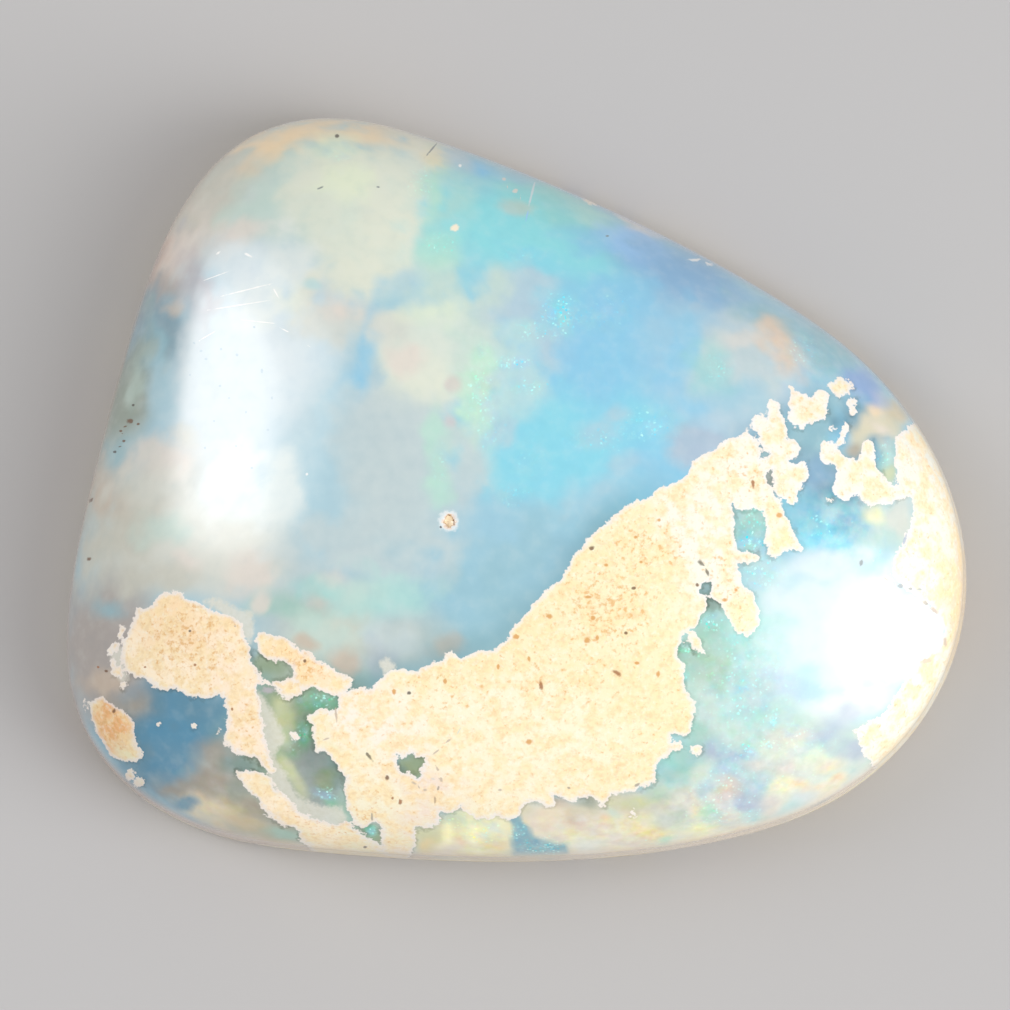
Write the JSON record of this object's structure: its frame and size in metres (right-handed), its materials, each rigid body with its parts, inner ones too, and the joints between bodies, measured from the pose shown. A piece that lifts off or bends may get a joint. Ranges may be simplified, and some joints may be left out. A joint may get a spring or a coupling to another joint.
{
  "type": "boulder opal cabochon",
  "caption": "Free-form domed gemstone with a flat back and a softly bevelled girdle, loose and unset.",
  "frame": {"origin": "centre of the stone's bounding box, on its flat back face", "axes": "+Z out of the polished dome, +X along the stone's length towards its round end, +Y towards its narrow corner"},
  "size_m": [0.018, 0.015, 0.0046],
  "materials": {
    "polished_opal": "Polished milky blue opal with soft play of colour, and cream sandstone showing through it"
  },
  "bodies": {
    "root": {"stone": "polished_opal"}
  },
  "joints": []
}
